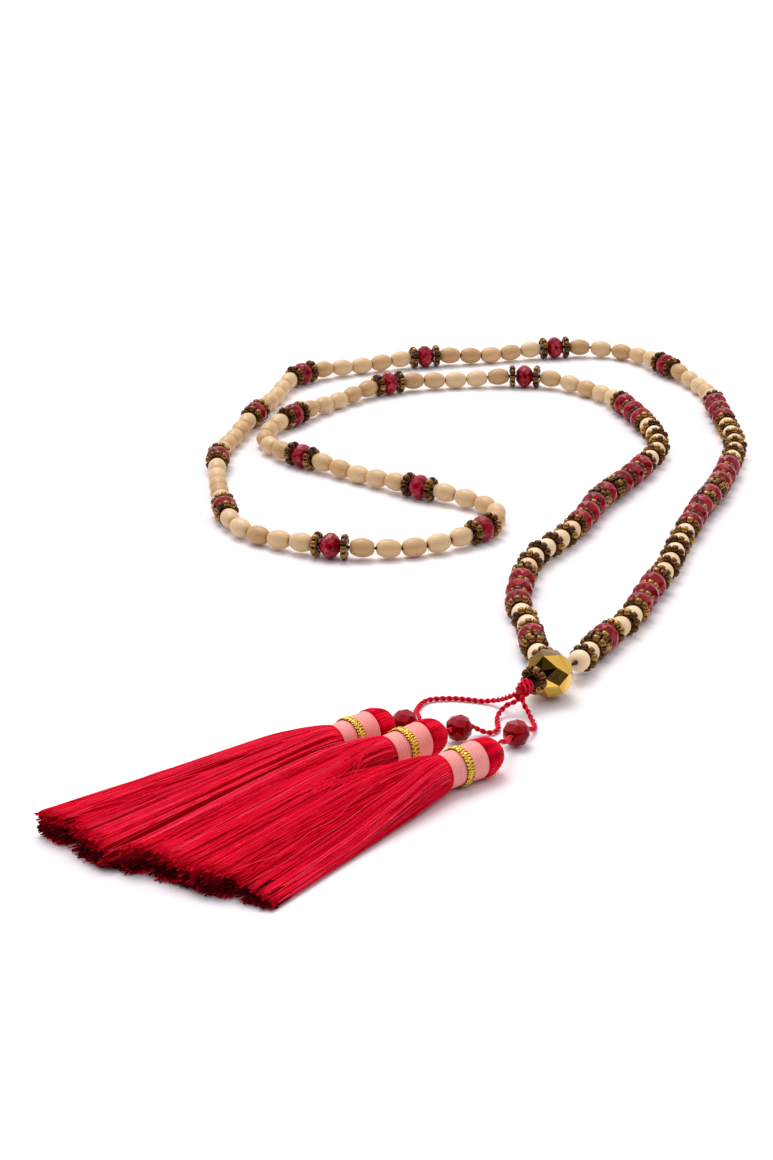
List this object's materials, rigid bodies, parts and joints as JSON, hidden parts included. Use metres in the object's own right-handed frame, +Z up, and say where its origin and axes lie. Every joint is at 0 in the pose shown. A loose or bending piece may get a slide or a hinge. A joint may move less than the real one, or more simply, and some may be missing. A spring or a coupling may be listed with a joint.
{
  "type": "beaded tassel necklace",
  "caption": "Long beaded necklace laid down as one doubled-back loop, its front strands meeting in a faceted guru bead, from which corded silk tassels with drop beads spread.",
  "frame": {"origin": "middle of the base of the necklace as it lies, on the surface", "axes": "+X to the right and +Y away from the viewer, along the necklace from the tassels to the back of the loop; +Z up"},
  "size_m": [0.2057, 0.4492, 0.013],
  "materials": {
    "brown_thread": "dark brown beading thread",
    "oval_wood": "satin turned wood",
    "round_wood": "raw pale turned wood",
    "ruby_crystal": "faceted ruby glass, glossy",
    "bronze_seed": "bronze lustre glass",
    "gold_glass": "faceted glass with a metallic gold coat",
    "red_cord": "twisted crimson cord",
    "dark_ruby_glass": "faceted dark ruby glass, glossy",
    "red_silk": "crimson silk thread, soft sheen",
    "pink_floss": "salmon pink wound floss",
    "gold_lurex": "gold lurex braid"
  },
  "bodies": {
    "root": {"string_thread": "brown_thread", "oval_wood_beads": "oval_wood", "round_wood_beads": "round_wood", "crystal_beads": "ruby_crystal", "spacer_rings": "bronze_seed", "guru_bead": "gold_glass", "guru_collar": "bronze_seed", "cord_knot": "red_cord", "cord_a": "red_cord", "cord_b": "red_cord", "cord_c": "red_cord", "drop_bead_a": "dark_ruby_glass", "drop_bead_b": "dark_ruby_glass", "drop_bead_c": "dark_ruby_glass", "tassel_a": "red_silk", "tassel_b": "red_silk", "tassel_c": "red_silk", "wrap_a": "pink_floss", "wrap_b": "pink_floss", "wrap_c": "pink_floss", "braid_a": "gold_lurex", "braid_b": "gold_lurex", "braid_c": "gold_lurex"}
  },
  "joints": []
}
